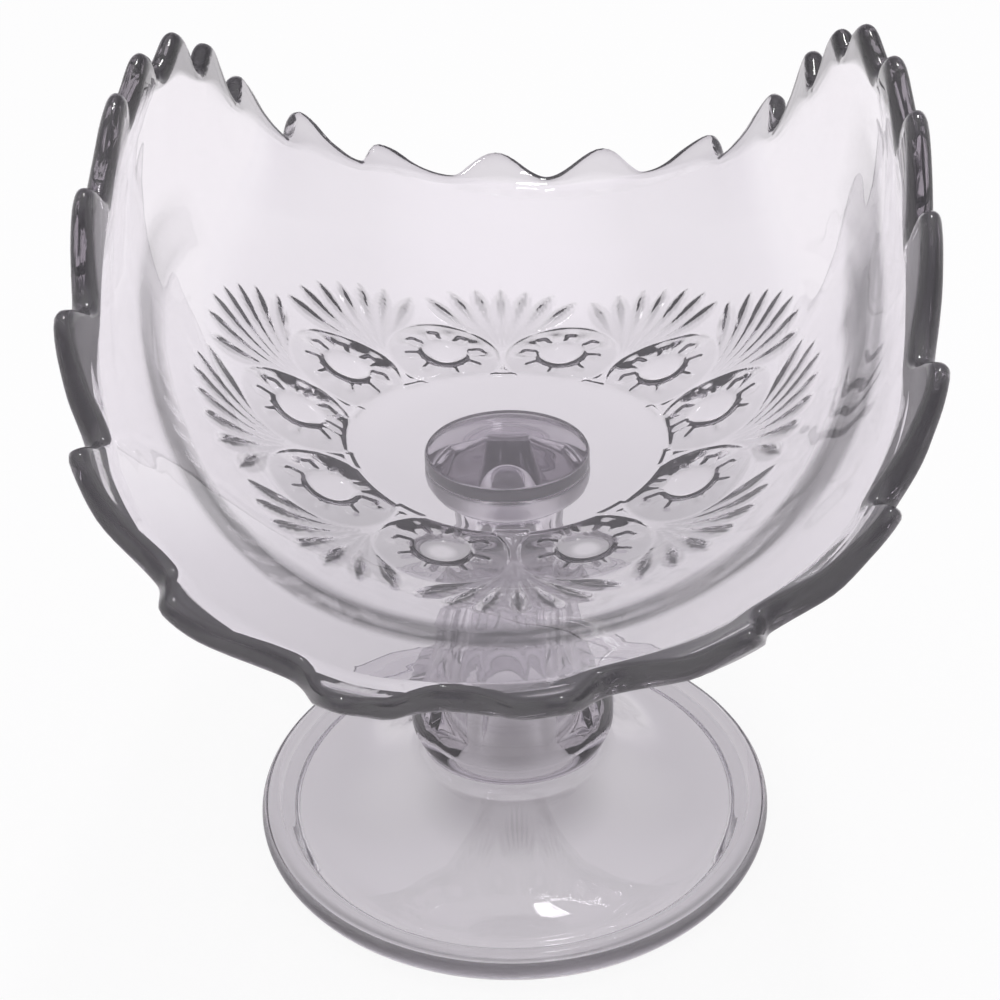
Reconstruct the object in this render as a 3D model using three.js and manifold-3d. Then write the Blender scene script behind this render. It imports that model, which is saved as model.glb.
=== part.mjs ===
// Banana stand in pressed glass: a dish with two sides folded up, a joining wafer and a hollow foot and stem.
// Millimetres, +Z up. The raised sides stand at -X and +X, and the low open ends face -Y and +Y.
import * as THREE from 'three';
import { mergeVertices } from 'three/addons/utils/BufferGeometryUtils.js';
import { ConvexGeometry } from 'three/addons/geometries/ConvexGeometry.js';
import Module from 'manifold-3d';

const wasm = await Module();
wasm.setup();

// Sizes of the foot, stem and joint
const FOOT_R = 60; // outer radius of the round foot
const RIM_HIGH = 6.6; // height of the rolled rim of the foot
const RING_WIDE = 8; // width of the rim and of the ring the stand rests on
const STEM_Z = 22; // height where the stem leaves the foot
const STEM_R = 21; // radius of the stem there
const BULGE_R = 23.4; // widest radius of the stem
const BULGE_Z = 27; // height of its widest part
const NECK_R = 12.2; // narrowest radius, under the collar
const COLLAR = 5.4; // height of the collar at the top of the stem
const WALL = 4.6; // least wall of the hollow foot and stem
const PANELS = 10; // flat panels round the stem
const JOINT_R = 17.6; // radius of the collar and of the joining wafer
const WAFER = 2.6; // thickness of the wafer
const GAP = 0.3; // clearance left between joined pieces

// Sizes of the dish; its radii are those of the flat dish, before its sides are folded up
const FLOOR_Z = 92.7; // height of its underside
const NOTCH_R = 113.3; // radius at the notches between scallops
const GLASS = 5; // thickness
const FLARE_R = 54.7; // radius where it starts to rise
const FLARE = 0.323; // slope of the rise
const TEETH = 26; // scallops round the edge
const TOOTH = 8; // how far a scallop stands out from its notches
const SKEW = 0.65; // how far its tip is drawn towards the nearer raised side, of half its width
const SHORT = 0.3; // share that the scallops beside one peak came out shorter
const EDGE = 4; // width over which the edge is rounded off at a notch
const LEAN = 2; // degrees the dish leans to one side

// Sizes of the pattern pressed into its underside
const FANS = 10; // fans, with a button between each two
const TURN = 2.45; // degrees the pattern sits round from the fold
const WELL_R = 34.5; // plain middle inside the pattern
const FAN_R = 46.1; // circle the fans spring from
const FAN_LONG = 24.5; // length of a fan's middle blade
const BLADES = 9; // blades in each fan
const BUTTON_AT = 44.3; // circle the buttons are on
const BUTTON_R = 5; // radius of a plain button
const PIT_LONG = 5.6; // length of the pits round it
const PITS = 8; // pits round each button
const CUT = 1.3; // depth of the pressed cuts

const rad = Math.PI / 180;
const mix = (a, b, t) => a + (b - a) * t;
const smooth = (a, b, x) => {
  const t = Math.min(1, Math.max(0, (x - a) / (b - a)));
  return t * t * (3 - 2 * t);
};

// Rise of the flat dish from its level middle out to its edge, before the fold
function rise(rho) {
  const ease = 0.15 * FLARE_R;
  const d = rho - FLARE_R;
  const run = (Math.hypot(d, ease) + d) / 2 - (Math.hypot(FLARE_R, ease) - FLARE_R) / 2;
  return FLARE * run * (1 - (0.87 * run) / NOTCH_R);
}

// How far the glass at a radius is free to bend: not at all over the joint, and fully outside the plain middle
const freedom = (rho) => smooth(JOINT_R + 1.5, WELL_R + 8, rho);

// The two sides bent up about lines along Y: place and slope for a distance across
function bend(x, free) {
  const t = x / NOTCH_R, t2 = t * t;
  return {
    x: x * (1 - 0.037 * t2 - 0.244 * t2 * t2),
    z: free * NOTCH_R * (0.401 * t2 + 0.776 * t2 * t2 - 0.388 * t2 * t2 * t2),
    dx: 1 - 0.112 * t2 - 1.22 * t2 * t2,
    dz: free * t * (0.803 + 3.104 * t2 - 2.327 * t2 * t2),
  };
}

// Hand finish: the open ends are drawn up, the plan is squared a little and the dish leans to one side
function handFinish(rho, az) {
  const s = rho / NOTCH_R;
  const waves = (cosines, sines) => cosines.reduce((sum, c, k) => sum + c * Math.cos(k * az), 0)
    + sines.reduce((sum, c, k) => sum + c * Math.sin((k + 1) * az), 0);
  const lift = NOTCH_R * waves([0, 0.049, -0.085, 0.002, -0.0196, 0.003], [0.012, -0.0185, 0.002, 0.0055, 0.008]);
  const lean = -Math.tan(LEAN * rad) * rho * Math.cos(az) * freedom(rho);
  return { out: 1 - s ** 4 * waves([0.017, 0.0044, -0.001, 0.005, 0.0113, -0.0016, -0.0203], [-0.002, 0, 0.006]),
    side: 0.012 * NOTCH_R * s * s, up: lift * s ** 4 + lean };
}

// Middle of the glass at a flat radius and angle, inside the notch line
function foldInside(rho, az) {
  const b = bend(rho * Math.cos(az), freedom(rho));
  const n = Math.hypot(b.dx, b.dz);
  const h = rise(rho);
  const f = handFinish(rho, az);
  return new THREE.Vector3((b.x - (h * b.dz) / n) * f.out + f.side, rho * Math.sin(az) * f.out,
    FLOOR_Z + GLASS / 2 + b.z + (h * b.dx) / n + f.up);
}

// The same, carried on past the notches for the scallops, which turn up a little
function fold(rho, az) {
  if (rho <= NOTCH_R) return foldInside(rho, az);
  const at = foldInside(NOTCH_R, az);
  const along = at.clone().sub(foldInside(NOTCH_R - 1, az)).normalize();
  const upright = 0.3 * smooth(0, 0.7 * TOOTH, rho - NOTCH_R);
  return at.addScaledVector(along.setZ(along.z + upright).normalize(), rho - NOTCH_R);
}

// Point at a distance to one side of the middle of the glass; the inside of the dish is positive
function glassPoint(rho, az, off) {
  const p = fold(rho, az);
  if (rho < 0.5) return p.add(new THREE.Vector3(0, 0, off));
  const out = fold(rho + 0.2, az).sub(fold(rho - 0.2, az));
  const round = fold(rho, az + 0.003).sub(fold(rho, az - 0.003));
  return p.addScaledVector(out.cross(round).normalize(), off);
}

// Place of a scallop's tip between its notches, which are at -1 and 1
const tipPlace = (az) => -SKEW * Math.sin(2 * az);

// Scalloped edge of the flat dish, with a rounded lobe between sharp notches
function edgeRadius(az) {
  const turns = (TEETH * (az - (TURN + 90) * rad)) / (2 * Math.PI) + 0.5;
  const place = 2 * (turns - Math.floor(turns)) - 1;
  const tip = tipPlace(az);
  const share = place < tip ? (place + 1) / (tip + 1) : (1 - place) / (1 - tip);
  const past = (((az / rad + 540 - 16) % 360) - 180) / 12;
  return NOTCH_R + TOOTH * (1 - SHORT * Math.exp(-past * past)) * Math.sin((share * Math.PI) / 2) ** 1.1;
}

// Width over which the edge is rounded off, wider on a lobe, so the full glass ends almost level with the notches
const edgeWide = (az) => EDGE + 0.95 * (edgeRadius(az) - NOTCH_R);

// Half the thickness at a share of that width in from the edge, rounded off
const halfGlass = (share) => (GLASS / 2) * Math.sqrt(1 - Math.max(0, 1 - share) ** 2.6);

// A closed mesh as a solid
function solid(geometry) {
  geometry.deleteAttribute('normal');
  geometry.deleteAttribute('uv');
  const merged = mergeVertices(geometry, 1e-4);
  return new wasm.Manifold(new wasm.Mesh({ numProp: 3,
    vertProperties: new Float32Array(merged.attributes.position.array),
    triVerts: new Uint32Array(merged.index.array) }));
}

// Rings of points joined into one skin, where a ring may have fewer points than the next, down to one at an end;
// loop joins the last ring to the first
function skin(rings, loop) {
  const first = [0];
  rings.forEach((ring, i) => first.push(first[i] + ring.length));
  const index = [];
  for (let i = 0; i < rings.length - (loop ? 0 : 1); i++) {
    const j = (i + 1) % rings.length;
    const most = Math.max(rings[i].length, rings[j].length);
    const at = (ring, k) => first[ring] + (Math.floor((k * rings[ring].length) / most) % rings[ring].length);
    for (let k = 0; k < most; k++) {
      const [a, a1, b, b1] = [at(i, k), at(i, k + 1), at(j, k), at(j, k + 1)];
      if (b !== b1) index.push(a, b1, b);
      if (a !== a1) index.push(a, a1, b1);
    }
  }
  const geometry = new THREE.BufferGeometry();
  const places = rings.flat().flatMap((v) => v.toArray());
  geometry.setAttribute('position', new THREE.Float32BufferAttribute(places, 3));
  geometry.setIndex(index);
  return geometry;
}

// The plain folded dish, from the middle of its inside over the edge to the middle of its underside
function dishBody() {
  const half = Math.PI / TEETH;
  const angles = Array.from({ length: TEETH }, (_, k) => {
    const middle = (TURN + 90) * rad + 2 * half * k;
    const tip = half * tipPlace(middle), next = half * tipPlace(middle + 2 * half);
    return [0, 1 / 3, 2 / 3].map((t) => middle + mix(tip, half, t))
      .concat([0, 1 / 3, 2 / 3].map((t) => middle + 2 * half + mix(-half, next, t)));
  }).flat();
  const fewer = angles.filter((_, k) => k % 2 === 0);
  const levels = [JOINT_R + 1.5, WELL_R, ...[0.18, 0.36, 0.56, 0.78].map((t) => mix(WELL_R, NOTCH_R, t))];
  const shares = [1, 0.45, 0.12];
  const side = (s) => [
    ...levels.map((r) => fewer.map((a) => glassPoint(r, a, (s * GLASS) / 2))),
    ...shares.map((t) => angles.map((a) => glassPoint(edgeRadius(a) - t * edgeWide(a), a, s * halfGlass(t)))),
  ];
  const edge = angles.map((a) => glassPoint(edgeRadius(a), a, 0));
  return solid(skin([[glassPoint(0, 0, -GLASS / 2)], ...side(-1), edge, ...side(1).reverse(),
    [glassPoint(0, 0, GLASS / 2)]], false));
}

// Hull of points given as flat x, y round a centre and depth under the outer skin of the dish
function cutter(centreR, az, turn, points) {
  const at = points.map(([x, y, depth]) => {
    const px = centreR + x * Math.cos(turn) - y * Math.sin(turn);
    const py = x * Math.sin(turn) + y * Math.cos(turn);
    return glassPoint(Math.hypot(px, py), az + Math.atan2(py, px), depth - GLASS / 2);
  });
  return solid(new ConvexGeometry(at));
}

// One pressed fan: V-cut blades spreading from a point, the middle one longest
function fanCutters(az) {
  const spread = 78 * rad;
  const deep = -0.25 * CUT;
  return Array.from({ length: BLADES }, (_, k) => {
    const place = (2 * k) / (BLADES - 1) - 1;
    const long = FAN_LONG * mix(1, 0.66, place * place);
    const half = 0.75 * long * Math.sin(spread / (BLADES - 1));
    return cutter(FAN_R, az, place * spread, [
      [0.16 * long, 0.22 * half, deep], [0.16 * long, -0.22 * half, deep],
      [0.72 * long, half, deep], [0.72 * long, -half, deep], [long, 0, deep],
      [0.2 * long, 0, 0.3 * CUT], [0.74 * long, 0, CUT],
    ]);
  });
}

// The pits round one button, which leave it as a plain round boss
function buttonCutters(az) {
  const half = (0.8 * Math.PI) / PITS;
  const corner = (r, side) => [r * Math.cos(half), side * r * Math.sin(half), -0.25 * CUT];
  return Array.from({ length: PITS }, (_, k) => cutter(BUTTON_AT, az, ((k + 0.5) * 2 * Math.PI) / PITS, [
    corner(BUTTON_R, 1), corner(BUTTON_R, -1), corner(BUTTON_R + PIT_LONG, 1), corner(BUTTON_R + PIT_LONG, -1),
    [BUTTON_R + 0.25 * PIT_LONG, 0, CUT],
  ]));
}

// The dish with its pattern pressed into the underside, without the crumbs left where two cuts cross
function dish() {
  const cuts = [];
  for (let k = 0; k < FANS; k++) {
    const az = (TURN + 90) * rad + (2 * Math.PI * k) / FANS;
    cuts.push(...fanCutters(az), ...buttonCutters(az + Math.PI / FANS));
  }
  const pieces = wasm.Manifold.difference([dishBody(), ...cuts]).decompose();
  return pieces.reduce((a, b) => (a.volume() > b.volume() ? a : b));
}

// A closed outline turned round the axis in facets; panelled says how flat the panels are at a height and radius
function turned(outline, loop, panelled = () => 0) {
  const steps = PANELS * 5;
  const panel = Math.PI / PANELS;
  const rings = outline.map((p) => (p.x < 1e-6 ? [new THREE.Vector3(0, 0, p.y)]
    : Array.from({ length: steps }, (_, k) => {
      const a = (2 * Math.PI * k) / steps;
      const chord = Math.cos(panel) / Math.cos((a % (2 * panel)) - panel);
      const r = p.x * mix(1, chord, panelled(p));
      return new THREE.Vector3(r * Math.cos(a), r * Math.sin(a), p.y);
    })));
  return solid(skin(rings, loop));
}

// Small disc of hot glass that joins the dish to the stem
function wafer() {
  const top = FLOOR_Z - GAP, low = top - WAFER, soft = 0.3 * WAFER;
  const path = new THREE.Path().moveTo(0, low).lineTo(JOINT_R - soft, low);
  path.quadraticCurveTo(JOINT_R, low, JOINT_R, low + soft).lineTo(JOINT_R, top - soft);
  path.quadraticCurveTo(JOINT_R, top, JOINT_R - soft, top).lineTo(0, top);
  return turned(path.getPoints(2), false);
}

// Outside of the foot and stem, from the ring it rests on up to the top of the collar
function outsideLine(top) {
  const round = RIM_HIGH / 2, lip = 0.15 * COLLAR;
  const path = new THREE.Path().moveTo(FOOT_R - round, 0);
  path.absarc(FOOT_R - round, round, round, -Math.PI / 2, Math.PI / 2, false);
  path.quadraticCurveTo(FOOT_R - 0.85 * RING_WIDE, RIM_HIGH, FOOT_R - 1.1 * RING_WIDE, 0.88 * RIM_HIGH);
  path.quadraticCurveTo(mix(STEM_R, FOOT_R, 0.45), 0.95 * RIM_HIGH, STEM_R, STEM_Z);
  path.bezierCurveTo(mix(STEM_R, BULGE_R, 0.85), mix(STEM_Z, BULGE_Z, 0.3), BULGE_R, mix(STEM_Z, BULGE_Z, 0.6),
    BULGE_R, BULGE_Z);
  path.bezierCurveTo(BULGE_R, mix(BULGE_Z, top, 0.22), NECK_R, mix(BULGE_Z, top, 0.35), NECK_R, top - 2 * COLLAR);
  path.quadraticCurveTo(NECK_R, top - 1.1 * COLLAR, mix(NECK_R, JOINT_R, 0.7), top - COLLAR);
  path.quadraticCurveTo(JOINT_R, top - 0.95 * COLLAR, JOINT_R, top - 0.6 * COLLAR).lineTo(JOINT_R, top - lip);
  return path.lineTo(JOINT_R - lip, top).getPoints(4);
}

// Hollow of the foot and stem, which narrows all the way up, from its closed top down to the ring
function insideLine(top) {
  const bore = NECK_R - WALL, wide = STEM_R - 2 * WALL;
  const path = new THREE.Path().moveTo(0, top - COLLAR).lineTo(0.5 * bore, top - 1.1 * COLLAR);
  path.quadraticCurveTo(bore, top - 1.3 * COLLAR, bore, top - 2.5 * COLLAR);
  path.bezierCurveTo(bore, mix(STEM_Z, top, 0.5), wide, mix(STEM_Z, top, 0.45), wide, STEM_Z);
  path.quadraticCurveTo(1.15 * wide, STEM_Z - 1.2 * WALL, STEM_R, STEM_Z - 1.35 * WALL);
  path.quadraticCurveTo(mix(STEM_R, FOOT_R, 0.42), RIM_HIGH - WALL, FOOT_R - 1.25 * RING_WIDE, RIM_HIGH - WALL);
  return path.quadraticCurveTo(FOOT_R - RING_WIDE, 0.8 * (RIM_HIGH - WALL), FOOT_R - RING_WIDE, 0).getPoints(3);
}

// Foot and stem pressed in one: domed foot with a rolled rim, swelling stem with panels, hollow from below
function pedestal() {
  const top = FLOOR_Z - 2 * GAP - WAFER;
  const outside = outsideLine(top);
  const panelled = (p) => (outside.includes(p) ? smooth(BULGE_Z, mix(BULGE_Z, top, 0.25), p.y)
    * (1 - smooth(top - 2 * COLLAR, top - COLLAR, p.y)) : 0);
  return turned([...insideLine(top), ...outside, new THREE.Vector2(0, top)], false, panelled);
}

// One named mesh with its own colour
function piece(name, body, colour) {
  const m = body.getMesh();
  const geometry = new THREE.BufferGeometry();
  geometry.setAttribute('position', new THREE.Float32BufferAttribute(m.vertProperties, 3));
  geometry.setIndex(new THREE.Uint32BufferAttribute(m.triVerts, 1));
  const mesh = new THREE.Mesh(geometry, new THREE.MeshStandardMaterial({ color: colour, roughness: 0.05,
    transparent: true, opacity: 0.4 }));
  mesh.name = name;
  return mesh;
}

const group = new THREE.Group();
group.name = 'banana_stand';
group.add(piece('dish', dish(), 0xe9e4ee), piece('wafer', wafer(), 0xdcd6e2), piece('pedestal', pedestal(), 0xd6d0dc));
export default group;
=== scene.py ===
import math

import bpy
import numpy as np
from mathutils import Matrix


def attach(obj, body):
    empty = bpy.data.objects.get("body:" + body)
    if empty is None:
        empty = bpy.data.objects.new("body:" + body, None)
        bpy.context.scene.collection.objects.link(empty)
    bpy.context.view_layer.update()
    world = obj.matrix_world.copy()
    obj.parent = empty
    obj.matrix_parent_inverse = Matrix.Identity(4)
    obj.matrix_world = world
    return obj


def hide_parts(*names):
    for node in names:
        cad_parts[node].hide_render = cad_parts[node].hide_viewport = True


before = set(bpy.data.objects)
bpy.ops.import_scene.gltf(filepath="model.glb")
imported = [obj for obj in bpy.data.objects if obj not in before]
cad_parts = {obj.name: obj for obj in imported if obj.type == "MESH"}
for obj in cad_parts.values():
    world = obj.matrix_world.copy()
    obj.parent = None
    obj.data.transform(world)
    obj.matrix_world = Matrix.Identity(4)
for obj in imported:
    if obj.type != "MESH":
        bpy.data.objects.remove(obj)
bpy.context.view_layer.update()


# Foot and stem, pressed in one from soda-lime glass: a round foot with a rolled rim and a low dome, a swelling
# hollow stem with panels, a neck and a collar. A plunger leaves the hollow, so its walls narrow all the way up.
def curved(points, steps):
    """Points along the curve that these points steer, in millimetres, without its first point."""
    t = np.linspace(0, 1, steps + 1)[1:, None]
    points = [np.array(p, float) * np.ones_like(t) for p in points]
    while len(points) > 1:
        points = [a + (b - a) * t for a, b in zip(points, points[1:])]
    return points[0].tolist()


def turned(name, outline, steps):
    """A closed outline of (radius, height) in millimetres, spun round the axis into a glass body."""
    bpy.ops.object.select_all(action="DESELECT")
    bpy.ops.mesh.primitive_circle_add(vertices=len(outline), radius=0.01)
    piece = bpy.context.object
    piece.name = name
    for vertex, (r, z) in zip(piece.data.vertices, outline):
        vertex.co = (r / 1000, 0, z / 1000)
    bpy.ops.object.mode_set(mode="EDIT")
    bpy.ops.mesh.select_all(action="SELECT")
    bpy.ops.mesh.spin(steps=steps, angle=math.tau, center=(0, 0, 0), axis=(0, 0, 1))
    bpy.ops.mesh.select_all(action="SELECT")
    bpy.ops.mesh.remove_doubles(threshold=1e-6)
    bpy.ops.mesh.normals_make_consistent(inside=False)
    bpy.ops.object.mode_set(mode="OBJECT")
    return piece


def smooth(a, b, x):
    """From 0 at a to 1 at b, with soft ends."""
    t = np.clip((x - a) / (b - a), 0, 1)
    return t * t * (3 - 2 * t)


def panelled(piece, panels, depth_at):
    """Draws the outside in to flat panels, as much as depth_at says for a radius and a height in millimetres."""
    co = np.zeros(len(piece.data.vertices) * 3)
    piece.data.vertices.foreach_get("co", co)
    co = co.reshape(-1, 3)
    r, az = np.hypot(co[:, 0], co[:, 1]) * 1000, np.arctan2(co[:, 1], co[:, 0]) % math.tau
    half = math.pi / panels
    chord = math.cos(half) / np.cos(az % (2 * half) - half)
    flat = depth_at(r, co[:, 2] * 1000)
    co[:, :2] *= (1 + (chord - 1) * flat)[:, None]
    piece.data.vertices.foreach_set("co", co.ravel())
    piece.data.update()


collar_top, panels, round_steps = 89.5, 10, 160
foot_outline = [
    # the hollow, from its closed top down to the inside of the foot
    [0, 81.6], [1.5, 81.4],
    *curved([(1.5, 81.4), (4.6, 80.6), (5.6, 72)], 8),
    *curved([(5.6, 72), (7.2, 55.7), (11.8, 52.4), (11.8, 22)], 24),
    *curved([(11.8, 22), (13.6, 16.5), (21, 15.8)], 10),
    *curved([(21, 15.8), (37.4, 2), (50, 2)], 24),
    # the ring it stands on and the rolled rim, with two fine rings pressed into its top
    *curved([(50, 2), (52, 1.6), (52, 0.25)], 6),
    [52.25, 0], [56.7, 0],
    *[[56.7 + 3.3 * math.sin(a), 3.3 - 3.3 * math.cos(a)] for a in np.linspace(0, 2.4, 19)[1:]],
    *curved([(58.93, 5.73), (58.4, 5.5), (58.1, 6.1), (57.4, 6.6), (56.7, 6.6)], 7),
    *curved([(56.7, 6.6), (55.7, 6.6), (55.2, 5.8)], 5),
    *curved([(55.2, 5.8), (54.7, 5.1), (53.6, 5.7)], 5),
    *curved([(53.6, 5.7), (53, 5.95), (52, 5.9)], 4),
    # the dome, the crease at the stem, the swelling and the neck
    *curved([(52, 5.9), (38, 6.4), (21.6, 21)], 28),
    *curved([(21.6, 21), (20.9, 21.8), (21.4, 22.6)], 6),
    *curved([(21.4, 22.6), (23.4, 24), (23.4, 27)], 10),
    *curved([(23.4, 27), (23.4, 40.6), (12.2, 49), (12.2, 78.7)], 40),
    # the collar
    *curved([(12.2, 78.7), (12.2, 83), (15.6, 84.1)], 8),
    *curved([(15.6, 84.1), (17.6, 84.4), (17.6, 86.2)], 6),
    [17.6, 88.7], [17.5, 89.1], [17.3, 89.4], [17, collar_top], [0, collar_top],
]
pedestal = turned("pedestal_glass", foot_outline, round_steps)
panelled(pedestal, panels, lambda r, z: np.where(r > 11.9, smooth(27, 40, z) * (1 - smooth(78.7, 84, z)), 0))


def linear(colour):
    """An sRGB hex colour as Blender's linear numbers."""
    parts = [int(colour[i:i + 2], 16) / 255 for i in (0, 2, 4)]
    return [c / 12.92 if c <= 0.04045 else ((c + 0.055) / 1.055) ** 2.4 for c in parts] + [1]


def node(tree, kind, sockets=(), **settings):
    """Adds a node with its settings, and fills its sockets with values or other nodes' outputs."""
    made = tree.nodes.new(kind)
    for name, value in settings.items():
        setattr(made, name, value)
    for socket, value in dict(sockets).items():
        if isinstance(value, bpy.types.NodeSocket):
            tree.links.new(value, made.inputs[socket])
        else:
            made.inputs[socket].default_value = value
    return made


# Soda-lime glass with a trace of manganese, pressed and then fire-polished: clear with a faint lavender cast in
# its thickness, a skin that is smooth but not flat, and a foot ring ground dull by use. A painted shade makes the
# swelling a little greyer and the blind end of the hollow dark, and the collar's side is dulled by the joining.
foot_glass = bpy.data.materials.new("pressed_soda_lime_glass_foot")
foot_glass.use_nodes = True
tree = foot_glass.node_tree
tree.nodes.clear()
place = node(tree, "ShaderNodeTexCoord")
waves = node(tree, "ShaderNodeTexNoise", {"Vector": place.outputs["Object"], "Scale": 45.0, "Detail": 2.0})
skin = node(tree, "ShaderNodeBump", {"Height": waves.outputs["Fac"], "Strength": 0.25, "Distance": 0.0008})
height = node(tree, "ShaderNodeSeparateXYZ", {0: place.outputs["Object"]})
worn = node(tree, "ShaderNodeMapRange", {"Value": height.outputs["Z"], "From Min": 0.0001, "From Max": 0.0006,
                                         "To Min": 0.35, "To Max": 0.0})
# painted shade: the skin is greyer from 22 to 40 mm up, over the swelling
swelling_shade = node(tree, "ShaderNodeValToRGB", {0: height.outputs["Z"]})
swelling_shade.color_ramp.elements[0].position, swelling_shade.color_ramp.elements[0].color = 0.019, linear("f7f5f8")
swelling_shade.color_ramp.elements[1].position, swelling_shade.color_ramp.elements[1].color = 0.05, linear("f7f5f8")
for high in (0.022, 0.04):
    swelling_shade.color_ramp.elements.new(high).color = linear("d4d1d6")
level = node(tree, "ShaderNodeVectorMath", {0: place.outputs["Object"], 1: (1, 1, 0)}, operation="MULTIPLY")
from_axis = node(tree, "ShaderNodeVectorMath", {0: level.outputs[0]}, operation="LENGTH")
# painted shade: within 6 to 8.5 mm of the axis and below the collar the skin darkens towards black, so the blind end
# of the hollow looks dark
near_axis = node(tree, "ShaderNodeMapRange", {"Value": from_axis.outputs["Value"], "From Min": 0.006,
                                              "From Max": 0.0085, "To Min": 0.8, "To Max": 0.0})
below_collar = node(tree, "ShaderNodeMath", {0: height.outputs["Z"], 1: 0.085}, operation="LESS_THAN")
hollow_shade = node(tree, "ShaderNodeMath", {0: near_axis.outputs[0], 1: below_collar.outputs[0]}, operation="MULTIPLY")
skin_colour = node(tree, "ShaderNodeMix", {0: hollow_shade.outputs[0], 6: swelling_shade.outputs[0], 7: (0, 0, 0, 1)},
                   data_type="RGBA")
far_out = node(tree, "ShaderNodeMapRange", {"Value": from_axis.outputs["Value"], "From Min": 0.0166,
                                            "From Max": 0.0174, "To Min": 0.0, "To Max": 0.3})
at_collar = node(tree, "ShaderNodeMath", {0: height.outputs["Z"], 1: 0.0835}, operation="GREATER_THAN")
dulled = node(tree, "ShaderNodeMath", {0: far_out.outputs[0], 1: at_collar.outputs[0]}, operation="MULTIPLY")
rough = node(tree, "ShaderNodeMath", {0: worn.outputs[0], 1: dulled.outputs[0]}, operation="MAXIMUM")
body = node(tree, "ShaderNodeBsdfPrincipled", {"Base Color": skin_colour.outputs[2], "Roughness": rough.outputs[0],
                                               "IOR": 1.52, "Transmission Weight": 0.955,
                                               "Normal": skin.outputs[0]})
tint = node(tree, "ShaderNodeVolumeAbsorption", {"Color": linear("b3aab4"), "Density": 14.0})
node(tree, "ShaderNodeOutputMaterial", {"Surface": body.outputs[0], "Volume": tint.outputs[0]})
pedestal.data.materials.append(foot_glass)
bpy.ops.object.select_all(action="DESELECT")
pedestal.select_set(True)
bpy.context.view_layer.objects.active = pedestal
bpy.ops.object.shade_smooth_by_angle(angle=math.radians(40))
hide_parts("pedestal")
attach(pedestal, "root")


# Joining wafer: a gather of hot glass that stuck the dish to the collar. It has soft edges, and it sinks a tenth
# of a millimetre into both, as the real ones are fused.
wafer_outline = [[0, 89.4], [16.6, 89.4], *curved([(16.6, 89.4), (17.55, 89.5), (17.55, 90.3)], 5),
                 *curved([(17.55, 91.6), (17.55, 92.85), (16.8, 92.85)], 5), [0, 92.85]]
wafer = turned("joining_wafer", wafer_outline, round_steps)
bpy.ops.object.shade_smooth_by_angle(angle=math.radians(40))
wafer.data.materials.append(foot_glass)
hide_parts("wafer")
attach(wafer, "root")


# Dish, pressed flat from the same glass with its pattern in the underside, then folded up at two sides while soft
# and drawn up at its ends by hand. The edge has rounded scallops, fire-polished to fingers of clear glass.
flat_size = {"notch": 113.3, "glass": 5.0, "flare": 54.7, "slope": 0.323, "floor": 92.7, "joint": 17.6}
scallops, edge_wide, turn = 26, 2.6, math.radians(2.45)
# Each scallop as the hand left it, anticlockwise from the back: its length past the notches, in millimetres, and
# where its tip leans, from -1 to 1 between them. The same hand moved the edge a little out, aside and up, in waves.
long_each = [8.0, 7.2, 10.6, 9.0, 7.6, 6.6, 7.4, 8.5, 9.6, 9.5, 8.6, 5.9, 11.2,
             8.8, 10.6, 10.4, 9.4, 9.0, 11.8, 8.0, 5.7, 4.9, 10.9, 12.5, 8.3, 9.0]
tip_each = [-0.03, 0.36, 0.23, 0.32, 0.13, 0.14, 0.09, -0.43, -0.16, -0.2, -0.49, -0.44, -0.03,
            0.29, 0.36, 0.44, 0.3, 0.6, 0.17, -0.05, -0.18, -0.46, -0.17, -0.21, -0.38, 0.03]
hand_waves = [[-0.27, -0.36, 1.49, -0.1, 0.02, -0.47, -1.51, 0.47, 0.07, 0.78, 1.12, -0.63, 1.14],
              [-0.25, -0.09, 0.01, 0.41, -0.03, -0.7, 0.16, -0.11, -0.03, 1.24, -0.08, -0.06, -0.17],
              [-0.13, -0.56, -1.26, 0.48, -0.09, 0.36, 0.34, -0.36, -0.07, -0.36, 0.32, 1.28, -0.73]]


def hand_shift(az):
    """How far the hand moved the edge out, aside and up at an angle, in millimetres."""
    turns = [np.ones_like(az)] + [f(k * az) for k in range(1, 7) for f in (np.cos, np.sin)]
    return np.tensordot(hand_waves, turns, 1)


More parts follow.
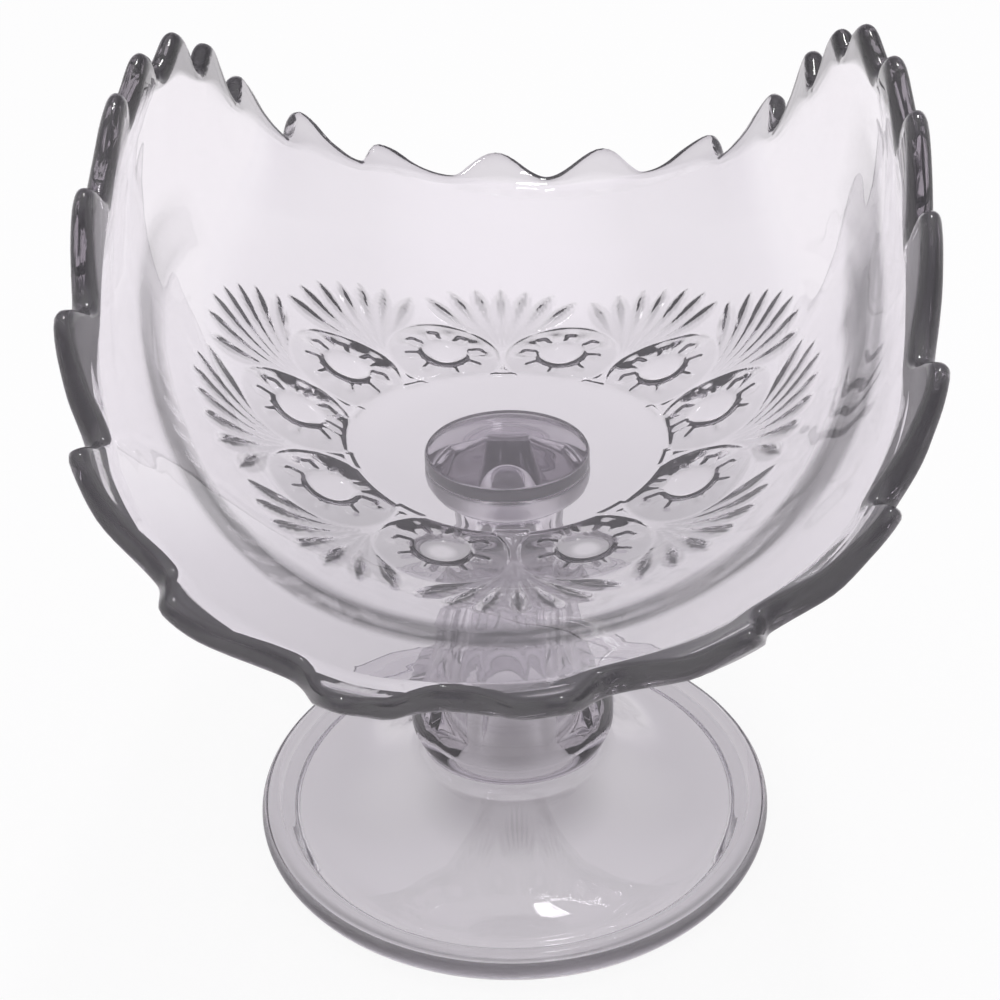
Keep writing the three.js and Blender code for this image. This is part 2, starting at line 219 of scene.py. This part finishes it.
def folded(rho, az):
    """Middle of the glass at a radius and angle of the flat dish, after folding, in millimetres."""
    notch, flare = flat_size["notch"], flat_size["flare"]
    # the two sides bent up about lines along the dish: place and slope for a distance across
    free = smooth(flat_size["joint"] + 1.5, 42.5, rho)
    x = rho * np.cos(az)
    t2 = (x / notch) ** 2
    across = x * (1 - 0.037 * t2 - 0.244 * t2 * t2)
    up = free * notch * (0.401 * t2 + 0.776 * t2 * t2 - 0.388 * t2**3)
    dx, dz = 1 - 0.112 * t2 - 1.22 * t2 * t2, free * x / notch * (0.803 + 3.104 * t2 - 2.327 * t2 * t2)
    slope = np.hypot(dx, dz)
    # the rise the mould gave the dish, square to the bent glass
    ease, past = 0.15 * flare, rho - flare
    run = (np.hypot(past, ease) + past) / 2 - (math.hypot(flare, ease) - flare) / 2
    rise = flat_size["slope"] * run * (1 - 0.87 * run / notch)
    # the hand finish, which grows to the edge: ends drawn up, the plan squared a little, and a lean to one side
    s = rho / notch
    wave = {k: (np.cos(k * az), np.sin(k * az)) for k in range(1, 7)}
    lift = notch * s**4 * (0.049 * wave[1][0] - 0.085 * wave[2][0] + 0.002 * wave[3][0] - 0.0196 * wave[4][0]
                           + 0.003 * wave[5][0] + 0.012 * wave[1][1] - 0.0185 * wave[2][1] + 0.002 * wave[3][1]
                           + 0.0055 * wave[4][1] + 0.008 * wave[5][1])
    lean = -math.tan(math.radians(2)) * x * free
    out = 1 - s**4 * (0.017 + 0.0044 * wave[1][0] - 0.001 * wave[2][0] + 0.005 * wave[3][0] + 0.0113 * wave[4][0]
                      - 0.0016 * wave[5][0] - 0.0203 * wave[6][0] - 0.002 * wave[1][1] + 0.006 * wave[3][1])
    _, aside, raised = hand_shift(az) * s**4
    height = flat_size["floor"] + flat_size["glass"] / 2 + up + rise * dx / slope + lift + lean + raised
    return np.stack([(across - rise * dz / slope) * out + 0.012 * notch * s * s + aside, rho * np.sin(az) * out,
                     height], -1)


def glass_middle(rho, az):
    """The same, carried on past the notches for the scallops, which turn up a little."""
    notch = flat_size["notch"]
    inner = np.minimum(rho, notch)
    at = folded(inner, az)
    along = at - folded(inner - 1, az)
    along /= np.linalg.norm(along, axis=-1, keepdims=True)
    over = rho - inner
    along[..., 2] += 0.3 * smooth(0, 5.6, over)
    along /= np.linalg.norm(along, axis=-1, keepdims=True)
    return at + along * over[..., None]


def lobe(az):
    """How far the edge stands out past its notches."""
    at = scallops / math.tau * (az - turn - math.pi / 2) + 0.5
    place, which = at % 1 * 2 - 1, np.floor(at).astype(int) % scallops
    tip = np.array(tip_each)[which]
    share = np.where(place < tip, (place + 1) / (tip + 1), (1 - place) / (1 - tip))
    return np.array(long_each)[which] * ((np.sin(share * math.pi / 2) ** 2 + 0.04) ** 1.1 - 0.029) / 1.015


# Pattern pressed into the underside: ten fans of nine curved mitre blades, and between them ten round bosses. Each
# boss is a low dome in a ring of eight facets parted by short slots. Depths are in millimetres into the glass.
repeat, fan_at, fan_spread, long_blade, last_blade = math.tau / 10, 46.1, math.radians(62), 25, 18.5
boss_at, dome_wide, boss_wide, well_wide = 44.3, 5.8, 13.5, 34.2


def fan_depth(rho, az):
    """Depth of the fans, and the painted shade laid on their blades and tips."""
    deep, painted_shade = np.zeros_like(rho), np.zeros_like(rho)
    near = (az - turn - math.pi / 2 + repeat / 2) % repeat - repeat / 2
    for place in np.linspace(-1, 1, 9):
        for side in (-1, 0, 1):
            px = rho * np.cos(near - side * repeat) - fan_at
            py = rho * np.sin(near - side * repeat)
            far, angle = np.hypot(px, py), np.arctan2(py, px)
            long = long_blade + 1.5 * abs(place) if abs(place) < 0.9 else last_blade
            line = place * fan_spread * (0.85 + 0.15 * np.clip(far / long, 0, 1))
            u, v = far * np.cos(angle - line) / long, far * np.abs(np.sin(angle - line))
            cut = 0.046 * long * np.where(u < 0.78, u / 0.78, np.clip((1 - u) / 0.22, 0, 1) ** 0.7)
            blade = 0.11 * long * np.where(u < 0.7, u / 0.7, np.sqrt(np.clip(1 - ((u - 0.7) / 0.3) ** 2, 0, 1)))
            deep = np.where(u > 0, np.maximum.reduce([deep, (0.26 + 0.45 * smooth(0.4, 0.75, u)) * (cut - v),
                                                      0.16 * (blade - v)]), deep)
            body = 0.22 * smooth(0, 0.6, blade - v) * smooth(1, 0.85, u)
            tip = (0.2 + 0.45 * smooth(0.3, 0.8, u)) * smooth(-0.1, 0.5, cut - v)
            painted_shade = np.where(u > 0, np.maximum.reduce([painted_shade, body, tip]), painted_shade)
    return deep, painted_shade


def boss_depth(rho, az):
    """Depth of the bosses, and how far each point is from the middle of the nearest one."""
    near = (az - turn - math.pi / 2) % repeat - repeat / 2
    px, py = rho * np.cos(near) - boss_at, rho * np.sin(near)
    far, angle = np.hypot(px, py), np.arctan2(py, px)
    slot = (angle + math.pi / 8) % (math.pi / 4) - math.pi / 8
    dome = 0.85 * (far / dome_wide) ** 5 - 0.1
    facet = 0.22 + 0.06 * (13 - far) + 0.38 * np.abs(np.sin(4 * slot)) * smooth(13, 8, far)
    cut = 0.75 * np.clip(1.3 - far * np.abs(np.sin(slot)), 0, 1) * smooth(5.6, 6.4, far) * (1 - smooth(8.6, 10, far))
    ring = 1 - smooth(12.4, boss_wide, far)
    return np.where(far < dome_wide, dome, facet + cut) * ring, far


def pattern(rho, az):
    """Depth of the whole pattern, and the painted shade on its skin. Fans and bosses keep clear of each other."""
    boss, far = boss_depth(rho, az)
    fans, fan_shade = fan_depth(rho, az)
    clear = smooth(13, 13.7, far)
    gusset = 0.22 * np.clip(np.minimum(far - boss_wide, rho - 35), 0, 9) * (rho < 45)
    well_line = 0.5 * np.clip(1 - np.abs(rho - well_wide) / 0.8, 0, 1)
    outside = np.maximum.reduce([fans * clear, gusset, well_line])
    deep = np.where(far < boss_wide, boss * smooth(well_wide, 35, rho), outside)
    # painted shade: a dark ring round the middle of the domes on the front of the dish, and a light grey on the
    # facets
    dome_shade = 0.3 * smooth(-0.6, -0.9, np.sin(az)) * smooth(1.5, 3.5, far)
    boss_shade = np.where(far < dome_wide, dome_shade, 0.2) * smooth(13.6, 12.4, far) * (rho > 35)
    return deep, np.maximum(fan_shade * clear, boss_shade)


# Rows of the mesh, from the middle of the underside out to the edge and back over the inside. A row of the underside
# or the middle is at that radius on the flat dish. A line is that far in from the brink, where the scallops start, a
# bead is that share of the way from the brink out to the edge, and the inside is that share of the way back in.
columns = scallops * 24
line_rows = [4.6, 3.2, 2.0, 1.1, 0.5, 0.2]
bead_rows = [0, 0.18, 0.36, 0.52, 0.65, 0.76, 0.85, 0.92, 0.965, 0.99]
margin_rows = [75.5, 77.2, 78.4, 79, 79.6, 81, 83, 85, 87, 88.4, 89, 89.6, 91, 92.5, 94, 95.5, 97, 98.5, 100, 101.5,
               103]
layout = [("under", r) for r in (0, 8, 16, 24, 32.6, *np.arange(33.2, 73.6, 0.53), *margin_rows)]
layout += [("under_line", d) for d in line_rows] + [("under_bead", q) for q in bead_rows] + [("tip", 1)]
layout += [("bead", q) for q in bead_rows[::-1]] + [("line", d) for d in line_rows[::-1]]
layout += [("inside", k / 18) for k in range(18)] + [("middle", r) for r in (36, 29, 22, 15, 8, 0)]
bpy.ops.object.select_all(action="DESELECT")
bpy.ops.mesh.primitive_grid_add(x_subdivisions=columns, y_subdivisions=len(layout) - 1, size=2)
dish = bpy.context.object
dish.name = "dish_glass"
co = np.zeros(len(dish.data.vertices) * 3)
dish.data.vertices.foreach_get("co", co)
co = co.reshape(-1, 3)
column = np.rint((co[:, 0] + 1) / 2 * columns).astype(int) % columns
row = np.rint((co[:, 1] + 1) / 2 * (len(layout) - 1)).astype(int)
parts = np.array([part for part, at in layout])[row]
az = turn + math.pi / 2 + math.tau * column / columns
# the columns gather at the notches, in the rows of the scallops
gather = np.isin(parts, ("under_line", "under_bead", "tip", "bead", "line"))
az += np.where(gather, 0.5, 0.0) * np.sin(scallops * (az - turn - math.pi / 2)) / scallops
edge = flat_size["notch"] + hand_shift(az)[0] + lobe(az)
wide = edge_wide + 0.9 * lobe(az)
brink = edge - wide
half = flat_size["glass"] / 2
# Past the pattern the underside steps up by this much, so the margin is thinner. Each scallop narrows from the brink
# to its round edge.
step_up = np.interp(np.degrees(az) % 360, (0, 10, 90, 170, 180, 190, 200, 210, 235, 260, 270, 280, 340, 350, 360),
                    (0.35, 0.3, 0.3, 0.35, 0.45, 0.45, 0.36, 0.34, 0.38, 0.34, 0.29, 0.23, 0.23, 0.3, 0.35))
taper = 0.02 + 0.015 * smooth(0.5, 0.1, np.sin(az)) + 0.045 * smooth(-0.2, -0.65, np.sin(az))
round_end = 1.6 + 0.9 * smooth(0.75, 0.2, np.abs(np.sin(az)))
# A band of painted shade along the fold, where the bent glass looks darker. It fades out to the back and is
# strongest at the front right. These are degrees round the dish, then where the band starts and ends there on the
# flat dish, and how strong it is.
shade_band_at = (0, 8, 16, 160, 193, 213, 241, 297, 329, 349, 360)
shade_band = ((79, 85, 88, 78, 78, 81, 75.5, 75, 81, 76, 79), (100, 104, 105, 92, 90.5, 91.5, 89, 90, 100, 95, 100),
              (0.8, 0.45, 0, 0, 0.8, 1.05, 1, 1.25, 1.35, 1.3, 0.8))
rho, off, painted_shade = np.zeros(len(co)), np.zeros(len(co)), np.zeros(len(co))
for k, (part, at) in enumerate(layout):
    here = row == k
    angle, backward, brink_here = az[here], np.sin(az[here]), brink[here]
    under = part in ("under", "under_line", "under_bead")
    thick = half - (step_up[here] if under and part != "under" else 0)
    if part == "under":
        # the last rows stay short of the lines where the hand drew the edge in
        rho[here] = np.minimum(at, brink_here - 6 - 0.5 * (103 - at if at > 95 else 8))
        thick = half - step_up[here] * np.interp(at, (79, 81, 83, 85, 87, 89), (0, 0.17, 0.42, 0.58, 0.86, 1))
        if 33 < at < 74:
            deep, pattern_shade = pattern(rho[here], angle)
            # painted shade of the pattern, almost doubled on the front half of the dish, where less light reaches it
            painted_shade[here] = pattern_shade * (1 + 0.9 * smooth(-0.1, -0.7, backward))
            thick = thick - deep
        elif at > 75:
            start, end, strong = (np.interp(np.degrees(angle) % 360, shade_band_at, line) for line in shade_band)
            streaks = 0.8 + 0.12 * np.sin(1.1 * at + 2 * np.sin(3 * angle)) + 0.1 * np.sin(11 * angle + at)
            inside_band = smooth(-0.5, 3.5, at - start) * smooth(-0.5, 4, end - at)
            painted_shade[here] = np.minimum(strong * streaks * inside_band, 0.97)
    elif part in ("under_line", "line"):
        rho[here] = brink_here - at
    elif part in ("under_bead", "tip", "bead"):
        rho[here] = (edge - (1 - at) * wide)[here]
        left = np.clip((1 - at) * wide / round_end, 0, 1)[here]
        thick = (thick - (taper * at * wide)[here]) * np.sqrt(1 - (1 - left) ** 2)
        # painted shade on the scallops: none at the front, most towards the back on either side, less at the middle
        # of the back
        painted_shade[here] = smooth(0, 0.15, at) * (0.2 + 0.42 * smooth(0.9, 0.5, backward)) * smooth(-0.4, 0.2, backward)
    elif part == "inside":
        rho[here] = brink_here - 6 + (42 - brink_here) * at
    else:
        rho[here] = at
    off[here] = thick * (-1 if under else 1)

# each point is set off from the middle of the bent glass, square to it
middle = glass_middle(rho, az)
outward = glass_middle(rho + 0.3, az) - glass_middle(np.maximum(rho - 0.3, 0.01), az)
round_way = glass_middle(np.maximum(rho, 1), az + 0.003) - glass_middle(np.maximum(rho, 1), az - 0.003)
normal = np.cross(outward, round_way)
normal /= np.linalg.norm(normal, axis=1, keepdims=True)
normal[rho < 1] = (0, 0, 1)
co = (middle + normal * off[:, None]) / 1000
dish.data.vertices.foreach_set("co", co.ravel())
dish.data.attributes.new("painted_shade", "FLOAT", "POINT").data.foreach_set("value", painted_shade)
dish.data.update()
bpy.ops.object.mode_set(mode="EDIT")
bpy.ops.mesh.select_all(action="SELECT")
bpy.ops.mesh.remove_doubles(threshold=1e-6)
bpy.ops.mesh.normals_make_consistent(inside=False)
bpy.ops.object.mode_set(mode="OBJECT")
bpy.ops.object.shade_smooth()

# The same soda-lime glass, fire-polished inside and out after folding. Its skin waves a little, so what is seen
# through it bends, and the mesh's painted shade darkens it on the pattern, along the fold and on the scallops.
dish_glass = bpy.data.materials.new("pressed_soda_lime_glass_dish")
dish_glass.use_nodes = True
tree = dish_glass.node_tree
tree.nodes.clear()
place = node(tree, "ShaderNodeTexCoord")
waves = node(tree, "ShaderNodeTexNoise", {"Vector": place.outputs["Object"], "Scale": 30.0, "Detail": 2.0})
skin = node(tree, "ShaderNodeBump", {"Height": waves.outputs["Fac"], "Strength": 0.2, "Distance": 0.001})
shade_attribute = node(tree, "ShaderNodeAttribute", attribute_name="painted_shade")
skin_colour = node(tree, "ShaderNodeMix", {0: shade_attribute.outputs["Fac"], 6: linear("f9f7fa"), 7: (0, 0, 0, 1)},
                   data_type="RGBA")
body = node(tree, "ShaderNodeBsdfPrincipled", {"Base Color": skin_colour.outputs[2], "Roughness": 0.0, "IOR": 1.52,
                                               "Transmission Weight": 0.955, "Normal": skin.outputs[0]})
tint = node(tree, "ShaderNodeVolumeAbsorption", {"Color": linear("b3aab4"), "Density": 11.0})
node(tree, "ShaderNodeOutputMaterial", {"Surface": body.outputs[0], "Volume": tint.outputs[0]})
dish.data.materials.append(dish_glass)
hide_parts("dish")
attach(dish, "root")


# White paper floor under the stand, with a soft shadow. Mirrored and glass rays see the paper as a glow with a
# painted
# shadow instead: white far out and greyer towards the stand, where the dish keeps the studio's light off it.
bpy.ops.object.select_all(action="DESELECT")
bpy.ops.mesh.primitive_plane_add(size=6, location=(0, 0, -0.0003))
floor = bpy.context.object
floor.name = "floor"
paper = bpy.data.materials.new("white_paper")
paper.use_nodes = True
tree = paper.node_tree
tree.nodes.clear()
place = node(tree, "ShaderNodeTexCoord")
from_stand = node(tree, "ShaderNodeVectorMath", {0: place.outputs["Object"]}, operation="LENGTH")
painted_shadow_ramp = node(tree, "ShaderNodeValToRGB", {0: from_stand.outputs["Value"]})
painted_shadow_ramp.color_ramp.elements[0].position, painted_shadow_ramp.color_ramp.elements[0].color = 0.012, (0.4, 0.385, 0.4, 1)
painted_shadow_ramp.color_ramp.elements[1].position, painted_shadow_ramp.color_ramp.elements[1].color = 0.37, (1.0, 0.975, 1.0, 1)
for far, level in ((0.024, 0.6), (0.045, 0.63), (0.075, 0.69), (0.16, 0.82), (0.26, 0.95)):
    painted_shadow_ramp.color_ramp.elements.new(far).color = (level, level * 0.97, level * 1.005, 1)
matt = node(tree, "ShaderNodeBsdfDiffuse", {"Color": linear("f4f4f4")})
lit = node(tree, "ShaderNodeEmission", {"Color": linear("ffffff"), "Strength": 1.0})
painted_shadow_glow = node(tree, "ShaderNodeEmission", {"Color": painted_shadow_ramp.outputs[0], "Strength": 1.0})
ray = node(tree, "ShaderNodeLightPath")
seen = node(tree, "ShaderNodeMath", {0: ray.outputs["Is Camera Ray"], 1: 0.9}, operation="MULTIPLY")
bent = node(tree, "ShaderNodeMath", {0: ray.outputs["Is Glossy Ray"], 1: ray.outputs["Is Transmission Ray"]},
            operation="MAXIMUM")
mixed = node(tree, "ShaderNodeMixShader", {0: seen.outputs[0], 1: matt.outputs[0], 2: lit.outputs[0]})
mixed = node(tree, "ShaderNodeMixShader", {0: bent.outputs[0], 1: mixed.outputs[0], 2: painted_shadow_glow.outputs[0]})
node(tree, "ShaderNodeOutputMaterial", {"Surface": mixed.outputs[0]})
floor.data.materials.append(paper)


# Studio light: a dim room at the back and front, pale at the two sides and overhead, and a small bright lamp.
world = bpy.data.worlds.new("studio")
bpy.context.scene.world = world
world.use_nodes = True
tree = world.node_tree
tree.nodes.clear()
where = node(tree, "ShaderNodeTexCoord")
toward = node(tree, "ShaderNodeSeparateXYZ", {0: where.outputs["Generated"]})
by_height = node(tree, "ShaderNodeValToRGB", {0: toward.outputs["Z"]})
by_height.color_ramp.elements[0].position, by_height.color_ramp.elements[0].color = 0.0, (0.93, 0.91, 0.95, 1)
by_height.color_ramp.elements[1].position, by_height.color_ramp.elements[1].color = 1.0, (1.2, 1.2, 1.2, 1)
for high, level in ((0.1, 0.62), (0.24, 0.47), (0.65, 0.42), (0.85, 1.0)):
    by_height.color_ramp.elements.new(high).color = (level, level * 0.95, level * 1.05, 1)
aside = node(tree, "ShaderNodeMath", {0: toward.outputs["X"]}, operation="ABSOLUTE")
sides = node(tree, "ShaderNodeMapRange", {"Value": aside.outputs[0], "From Min": 0.5, "From Max": 0.85,
                                          "To Min": 0.0, "To Max": 0.85}, interpolation_type="SMOOTHSTEP")
room = node(tree, "ShaderNodeMix", {0: sides.outputs[0], 6: by_height.outputs[0], 7: (0.95, 0.95, 0.95, 1)},
            data_type="RGBA")
dim = node(tree, "ShaderNodeBackground", {"Color": room.outputs[2], "Strength": 1.0})
white = node(tree, "ShaderNodeBackground", {"Color": linear("ffffff"), "Strength": 1.0})
ray = node(tree, "ShaderNodeLightPath")
mixed = node(tree, "ShaderNodeMixShader", {0: ray.outputs["Is Camera Ray"], 1: dim.outputs[0], 2: white.outputs[0]})
node(tree, "ShaderNodeOutputWorld", {"Surface": mixed.outputs[0]})

bpy.ops.object.light_add(type="AREA", location=(0.1, 0.3, 1.1))
lamp = bpy.context.object
lamp.name = "soft_box"
lamp.data.shape, lamp.data.size, lamp.data.size_y, lamp.data.energy = "RECTANGLE", 0.09, 0.28, 2.0

# Camera, at the photograph's place.
pitch, yaw, roll = math.radians(31.364), math.radians(-1.832), math.radians(-1.436)
ahead = np.array([math.sin(yaw) * math.cos(pitch), math.cos(yaw) * math.cos(pitch), -math.sin(pitch)])
side = np.array([math.cos(yaw), -math.sin(yaw), 0])
above = np.cross(side, ahead)
right = math.cos(roll) * side + math.sin(roll) * above
upward = -math.sin(roll) * side + math.cos(roll) * above
camera = bpy.data.objects.new("camera", bpy.data.cameras.new("camera"))
bpy.context.scene.collection.objects.link(camera)
turned_to = Matrix(np.stack([right, upward, -ahead], 1).tolist())
camera.matrix_world = Matrix.Translation((0.00791, -0.304, 0.2633)) @ turned_to.to_4x4()
camera.data.sensor_width, camera.data.lens = 36, 59.33
camera.data.shift_y = 0.0207
camera.data.clip_start = 0.01
bpy.context.scene.camera = camera
bpy.context.scene.view_settings.view_transform = "Standard"
